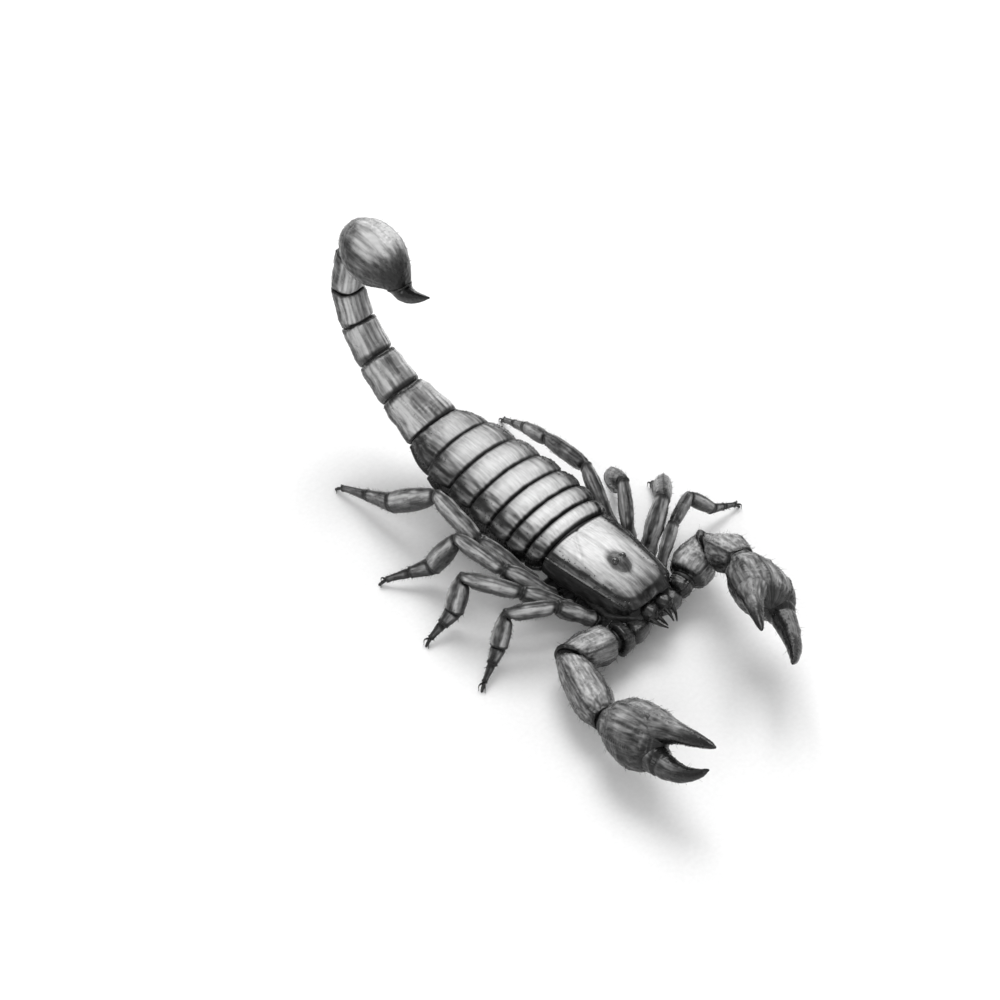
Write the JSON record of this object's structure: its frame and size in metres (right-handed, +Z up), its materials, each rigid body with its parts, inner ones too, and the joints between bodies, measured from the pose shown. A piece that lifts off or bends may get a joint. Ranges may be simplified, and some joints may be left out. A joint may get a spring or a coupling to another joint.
{
  "type": "large dark scorpion",
  "caption": "Life-size still model of a large dark forest scorpion, claws held forward, tail arched up and its sting pointing forwards.",
  "frame": {"origin": "middle of the model's footprint (its bounding rectangle), on the floor", "axes": "+Z up, the head faces -Y and the tail is towards +Y, the animal's left is +X"},
  "size_m": [0.091, 0.1576, 0.0705],
  "materials": {
    "back_plate": "polished dark grey shell, paler along the middle of the back and near black at its sides and borders",
    "tail_plate": "glossy ridged shell, dark grey with near black ridges and joints",
    "claw_plate": "glossy granular shell, dark grey with near black fingers",
    "limb_plate": "glossy smooth shell, very dark grey with paler joints",
    "eye": "wet, glossy black",
    "sting": "glossy black"
  },
  "bodies": {
    "root": {"breast_plate": "limb_plate", "claw_left_femur": "claw_plate", "claw_left_fixed_finger": "claw_plate", "claw_left_free_finger": "claw_plate", "claw_left_hand": "claw_plate", "claw_left_patella": "claw_plate", "claw_left_trochanter": "claw_plate", "claw_right_femur": "claw_plate", "claw_right_fixed_finger": "claw_plate", "claw_right_free_finger": "claw_plate", "claw_right_hand": "claw_plate", "claw_right_patella": "claw_plate", "claw_right_trochanter": "claw_plate", "comb_left": "limb_plate", "comb_right": "limb_plate", "eye_left": "eye", "eye_right": "eye", "head_shield": "back_plate", "jaw_left": "claw_plate", "jaw_right": "claw_plate", "leg_left_1_femur": "limb_plate", "leg_left_1_patella": "limb_plate", "leg_left_1_shank": "limb_plate", "leg_left_2_femur": "limb_plate", "leg_left_2_patella": "limb_plate", "leg_left_2_shank": "limb_plate", "leg_left_3_femur": "limb_plate", "leg_left_3_patella": "limb_plate", "leg_left_3_shank": "limb_plate", "leg_left_4_femur": "limb_plate", "leg_left_4_patella": "limb_plate", "leg_left_4_shank": "limb_plate", "leg_right_1_femur": "limb_plate", "leg_right_1_patella": "limb_plate", "leg_right_1_shank": "limb_plate", "leg_right_2_femur": "limb_plate", "leg_right_2_patella": "limb_plate", "leg_right_2_shank": "limb_plate", "leg_right_3_femur": "limb_plate", "leg_right_3_patella": "limb_plate", "leg_right_3_shank": "limb_plate", "leg_right_4_femur": "limb_plate", "leg_right_4_patella": "limb_plate", "leg_right_4_shank": "limb_plate", "sting": "sting", "tail_1": "tail_plate", "tail_2": "tail_plate", "tail_3": "tail_plate", "tail_4": "tail_plate", "tail_5": "tail_plate", "trunk_1": "back_plate", "trunk_2": "back_plate", "trunk_3": "back_plate", "trunk_4": "back_plate", "trunk_5": "back_plate", "trunk_6": "back_plate", "trunk_7": "back_plate", "vesicle": "tail_plate"}
  },
  "joints": []
}
